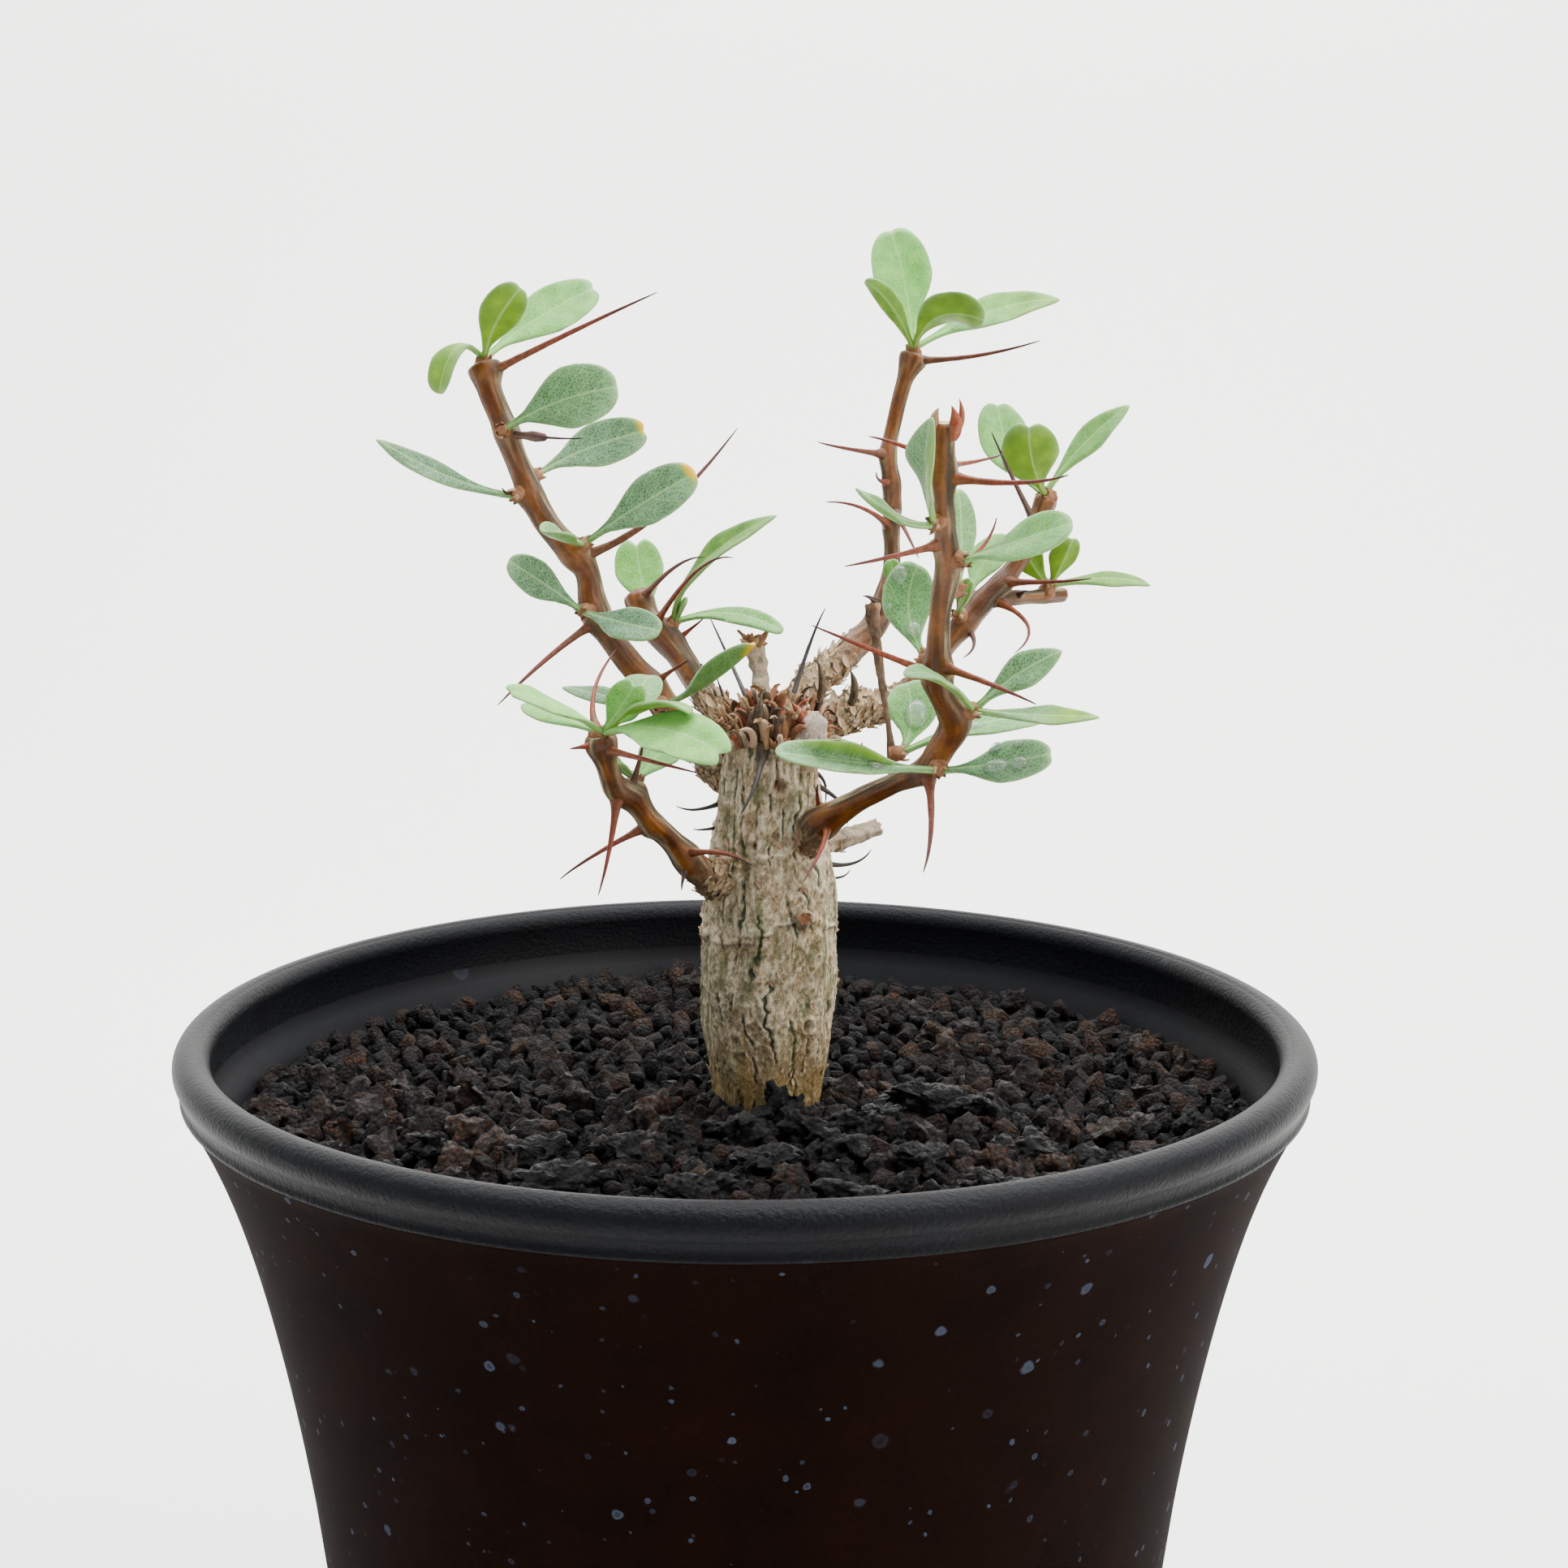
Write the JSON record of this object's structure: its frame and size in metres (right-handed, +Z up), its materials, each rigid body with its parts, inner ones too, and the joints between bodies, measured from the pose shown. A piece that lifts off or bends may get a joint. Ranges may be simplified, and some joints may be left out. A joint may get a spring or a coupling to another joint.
{
  "type": "potted boojum tree",
  "caption": "Young boojum tree with a swollen trunk, spiny cut back branches and small leaves, standing in lava grit in a round flared plant pot.",
  "frame": {"origin": "middle of the pot's foot, on the surface that it stands on", "axes": "+Z up, +X to the right and +Y to the back as the picture shows the plant"},
  "size_m": [0.15, 0.15, 0.2409],
  "materials": {
    "pot_plastic": "moulded, satin, with dried water spots",
    "lava_grit": "rough, porous, matt",
    "trunk_bark": "flaky grey-tan bark with green fissures",
    "branch_bark": "glossy orange-brown bark with grey papery strips",
    "leaf": "matt, powdery grey-green, thin and slightly translucent"
  },
  "bodies": {
    "root": {"pot": "pot_plastic", "soil": "lava_grit", "trunk": "trunk_bark", "branch_left_tall": "branch_bark", "branch_left_short": "branch_bark", "branch_left_low": "branch_bark", "branch_back_tall": "branch_bark", "branch_right": "branch_bark", "branch_front": "branch_bark", "leaves_left_tall_top": "leaf", "leaf_left_tall_a": "leaf", "leaf_left_tall_b": "leaf", "leaf_left_tall_c": "leaf", "leaves_left_tall_d": "leaf", "leaves_left_tall_e": "leaf", "leaf_left_tall_f": "leaf", "leaf_left_tall_g": "leaf", "leaf_left_short_back": "leaf", "leaves_left_short_side": "leaf", "leaves_left_low_top": "leaf", "leaves_left_low_side": "leaf", "leaves_back_tall_top": "leaf", "leaf_back_tall_low": "leaf", "leaves_right_top": "leaf", "leaf_right_back": "leaf", "leaves_right_shoot": "leaf", "leaf_right_bud": "leaf", "leaves_front_high": "leaf", "leaf_front_behind": "leaf", "leaf_front_right": "leaf", "leaf_front_wet": "leaf", "leaves_front_middle": "leaf", "leaves_front_low": "leaf", "leaves_front_root": "leaf"}
  },
  "joints": []
}
